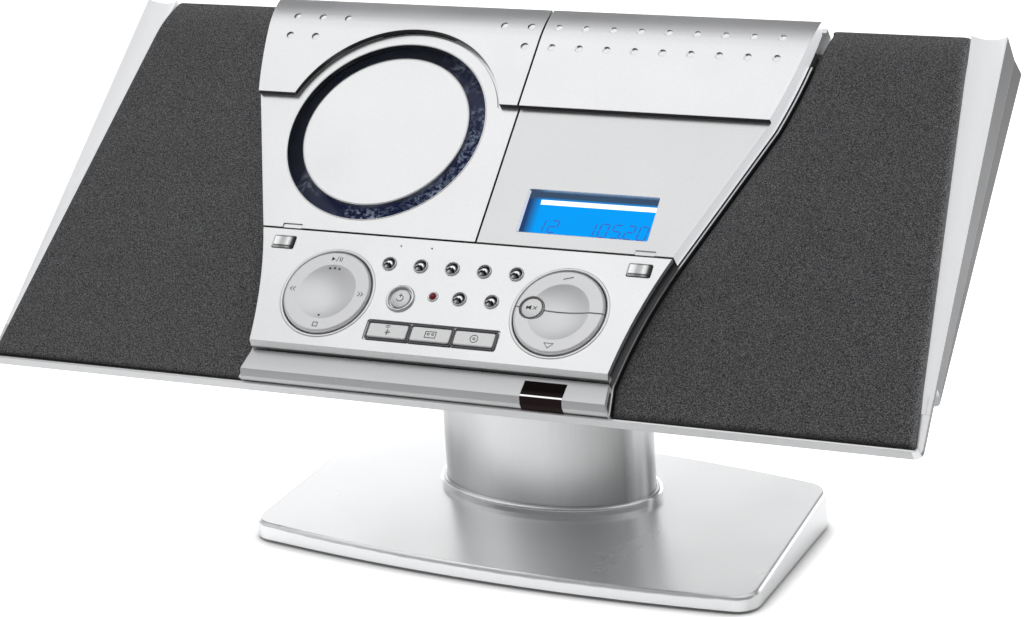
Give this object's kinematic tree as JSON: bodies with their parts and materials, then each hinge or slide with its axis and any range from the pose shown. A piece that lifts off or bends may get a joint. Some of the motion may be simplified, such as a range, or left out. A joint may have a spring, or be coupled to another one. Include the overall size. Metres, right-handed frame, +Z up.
{
  "type": "cd clock radio",
  "caption": "Wide sloping desk radio on an oval column and wedge base, with hinged disc and cassette lids, a blue clock display, dished pads and cloth grilles.",
  "frame": {"origin": "floor level, under the middle of the whole object", "axes": "+Z up, +X to the right along the long side, the front faces -Y; the panel leans back 49.3 degrees from vertical"},
  "size_m": [0.5008, 0.207, 0.2763],
  "materials": {
    "silver_shell": "satin silver paint on moulded plastic",
    "silver_panel": "satin silver paint on moulded plastic",
    "black_shell": "fine black texture",
    "grille_cloth": "dark woven cloth over a plastic frame",
    "chrome_key": "bright plated plastic",
    "light_key": "satin light grey",
    "ring_blue": "tinted clear plastic",
    "infrared_black": "dark red-black infrared filter",
    "display_blue": "backlit blue display",
    "alloy": "satin extruded tube",
    "bright_trim": "bright plated plastic",
    "steel": "bare steel",
    "rubber_foot": "black rubber",
    "circuit": "green circuit board"
  },
  "bodies": {
    "housing": {"base_plate": "silver_shell", "base_weight": "steel", "rubber_feet": "rubber_foot", "column": "alloy", "column_collar": "bright_trim", "stand_bracket": "steel", "front_tray": "silver_shell", "rear_cover": "silver_shell", "grille_left": "grille_cloth", "grille_right": "grille_cloth", "console_trim": "black_shell", "console_panel": "silver_panel", "bottom_strip": "silver_panel", "ir_window": "infrared_black", "inner_chassis": "black_shell", "lcd_display": "display_blue", "key_board": "circuit", "cd_chassis": "steel", "guide_rod": "steel", "spindle_motor": "steel", "cassette_deck": "steel", "speaker_left": "steel", "speaker_right": "steel", "main_board": "circuit", "transformer": "steel", "power_inlet": "black_shell", "screws": "steel"},
    "lid_left": {"lid_left_plate": "silver_panel", "lid_left_cover": "silver_panel", "ring_window": "ring_blue", "ring_plate": "silver_panel"},
    "lid_right": {"lid_right_plate": "silver_panel", "lid_right_cover": "silver_panel"},
    "pad_carrier": {"pad_carrier": "black_shell"},
    "transport_pad": {"transport_pad": "light_key"},
    "turntable": {"turntable": "black_shell"},
    "laser_sled": {"laser_sled": "black_shell"},
    "lead_screw": {"lead_screw": "steel"},
    "reel_left": {"reel_spindle_left": "black_shell"},
    "reel_right": {"reel_spindle_right": "black_shell"},
    "capstan": {"capstan_flywheel": "steel"},
    "head_plate": {"head_plate": "steel"},
    "preset_down_button": {"preset_down_button": "chrome_key"},
    "preset_up_button": {"preset_up_button": "chrome_key"},
    "program_button": {"program_button": "chrome_key"},
    "repeat_button": {"repeat_button": "chrome_key"},
    "equalizer_button": {"equalizer_button": "chrome_key"},
    "sleep_button": {"sleep_button": "chrome_key"},
    "timer_button": {"timer_button": "chrome_key"},
    "power_button": {"power_button": "light_key"},
    "mute_button": {"mute_button": "light_key"},
    "band_key": {"band_key": "light_key"},
    "tape_key": {"tape_key": "light_key"},
    "disc_key": {"disc_key": "light_key"},
    "open_key_left": {"open_key_left": "chrome_key"},
    "open_key_right": {"open_key_right": "chrome_key"},
    "volume_up_key": {"volume_up_key": "light_key"},
    "volume_down_key": {"volume_down_key": "light_key"}
  },
  "joints": [
    {"name": "lid_left_hinge", "type": "hinge", "parent": "housing", "child": "lid_left", "pos_m": [0, 0.07103, 0.26475], "axis": [-1, 0, 0], "range_deg": [0, 60]},
    {"name": "lid_right_hinge", "type": "hinge", "parent": "housing", "child": "lid_right", "pos_m": [0, 0.07103, 0.26475], "axis": [-1, 0, 0], "range_deg": [0, 60]},
    {"name": "pad_tilt_up_down", "type": "hinge", "parent": "housing", "child": "pad_carrier", "pos_m": [-0.0629, -0.06793, 0.15657], "axis": [1, 0, 0], "range_deg": [-2.5, 2.5], "stiffness_Nm_per_rad": 0.3},
    {"name": "pad_tilt_left_right", "type": "hinge", "parent": "pad_carrier", "child": "transport_pad", "pos_m": [-0.0629, -0.06793, 0.15657], "axis": [0, 0.7581, 0.6521], "range_deg": [-2.5, 2.5], "stiffness_Nm_per_rad": 0.3},
    {"name": "preset_down_button_press", "type": "slide", "parent": "housing", "child": "preset_down_button", "axis": [0, 0.6521, -0.7581], "range_m": [0, 0.001], "stiffness_N_per_m": 400, "springref_m": -0.0003},
    {"name": "preset_up_button_press", "type": "slide", "parent": "housing", "child": "preset_up_button", "axis": [0, 0.6521, -0.7581], "range_m": [0, 0.001], "stiffness_N_per_m": 400, "springref_m": -0.0003},
    {"name": "program_button_press", "type": "slide", "parent": "housing", "child": "program_button", "axis": [0, 0.6521, -0.7581], "range_m": [0, 0.001], "stiffness_N_per_m": 400, "springref_m": -0.0003},
    {"name": "repeat_button_press", "type": "slide", "parent": "housing", "child": "repeat_button", "axis": [0, 0.6521, -0.7581], "range_m": [0, 0.001], "stiffness_N_per_m": 400, "springref_m": -0.0003},
    {"name": "equalizer_button_press", "type": "slide", "parent": "housing", "child": "equalizer_button", "axis": [0, 0.6521, -0.7581], "range_m": [0, 0.001], "stiffness_N_per_m": 400, "springref_m": -0.0003},
    {"name": "sleep_button_press", "type": "slide", "parent": "housing", "child": "sleep_button", "axis": [0, 0.6521, -0.7581], "range_m": [0, 0.001], "stiffness_N_per_m": 400, "springref_m": -0.0003},
    {"name": "timer_button_press", "type": "slide", "parent": "housing", "child": "timer_button", "axis": [0, 0.6521, -0.7581], "range_m": [0, 0.001], "stiffness_N_per_m": 400, "springref_m": -0.0003},
    {"name": "power_button_press", "type": "slide", "parent": "housing", "child": "power_button", "axis": [0, 0.6521, -0.7581], "range_m": [0, 0.001], "stiffness_N_per_m": 400, "springref_m": -0.0003},
    {"name": "mute_button_press", "type": "slide", "parent": "housing", "child": "mute_button", "axis": [0, 0.6521, -0.7581], "range_m": [0, 0.001], "stiffness_N_per_m": 400, "springref_m": -0.0003},
    {"name": "band_key_press", "type": "slide", "parent": "housing", "child": "band_key", "axis": [0, 0.6521, -0.7581], "range_m": [0, 0.001], "stiffness_N_per_m": 400, "springref_m": -0.0003},
    {"name": "tape_key_press", "type": "slide", "parent": "housing", "child": "tape_key", "axis": [0, 0.6521, -0.7581], "range_m": [0, 0.001], "stiffness_N_per_m": 400, "springref_m": -0.0003},
    {"name": "disc_key_press", "type": "slide", "parent": "housing", "child": "disc_key", "axis": [0, 0.6521, -0.7581], "range_m": [0, 0.001], "stiffness_N_per_m": 400, "springref_m": -0.0003},
    {"name": "open_key_left_press", "type": "slide", "parent": "housing", "child": "open_key_left", "axis": [0, 0.6521, -0.7581], "range_m": [0, 0.001], "stiffness_N_per_m": 400, "springref_m": -0.0003},
    {"name": "open_key_right_press", "type": "slide", "parent": "housing", "child": "open_key_right", "axis": [0, 0.6521, -0.7581], "range_m": [0, 0.001], "stiffness_N_per_m": 400, "springref_m": -0.0003},
    {"name": "volume_up_key_press", "type": "slide", "parent": "housing", "child": "volume_up_key", "axis": [0, 0.6521, -0.7581], "range_m": [0, 0.001], "stiffness_N_per_m": 400, "springref_m": -0.0003},
    {"name": "volume_down_key_press", "type": "slide", "parent": "housing", "child": "volume_down_key", "axis": [0, 0.6521, -0.7581], "range_m": [0, 0.001], "stiffness_N_per_m": 400, "springref_m": -0.0003},
    {"name": "turntable_spin", "type": "hinge", "parent": "housing", "child": "turntable", "pos_m": [-0.0625, 0.0106, 0.2154], "axis": [0, -0.6521, 0.7581], "continuous": true},
    {"name": "laser_sled_slide", "type": "slide", "parent": "housing", "child": "laser_sled", "axis": [0, -0.7581, -0.6521], "range_m": [0, 0.032]},
    {"name": "lead_screw_turn", "type": "hinge", "parent": "housing", "child": "lead_screw", "pos_m": [-0.0805, -0.01191, 0.18022], "axis": [0, 0.7581, 0.6521], "range_deg": [0, 3000]},
    {"name": "reel_left_spin", "type": "hinge", "parent": "housing", "child": "reel_left", "pos_m": [0.04475, 0.02121, 0.22453], "axis": [0, -0.6521, 0.7581], "continuous": true},
    {"name": "reel_right_spin", "type": "hinge", "parent": "housing", "child": "reel_right", "pos_m": [0.08725, 0.02121, 0.22453], "axis": [0, -0.6521, 0.7581], "continuous": true},
    {"name": "capstan_spin", "type": "hinge", "parent": "housing", "child": "capstan", "pos_m": [0.088, 0.00444, 0.19956], "axis": [0, -0.6521, 0.7581], "continuous": true},
    {"name": "head_plate_slide", "type": "slide", "parent": "housing", "child": "head_plate", "axis": [0, 0.7581, 0.6521], "range_m": [0, 0.004], "stiffness_N_per_m": 150, "springref_m": -0.001}
  ],
  "couplings": [
    {"joint": "lead_screw_turn", "follows": "laser_sled_slide", "rad_per_m": 1570.8}
  ]
}
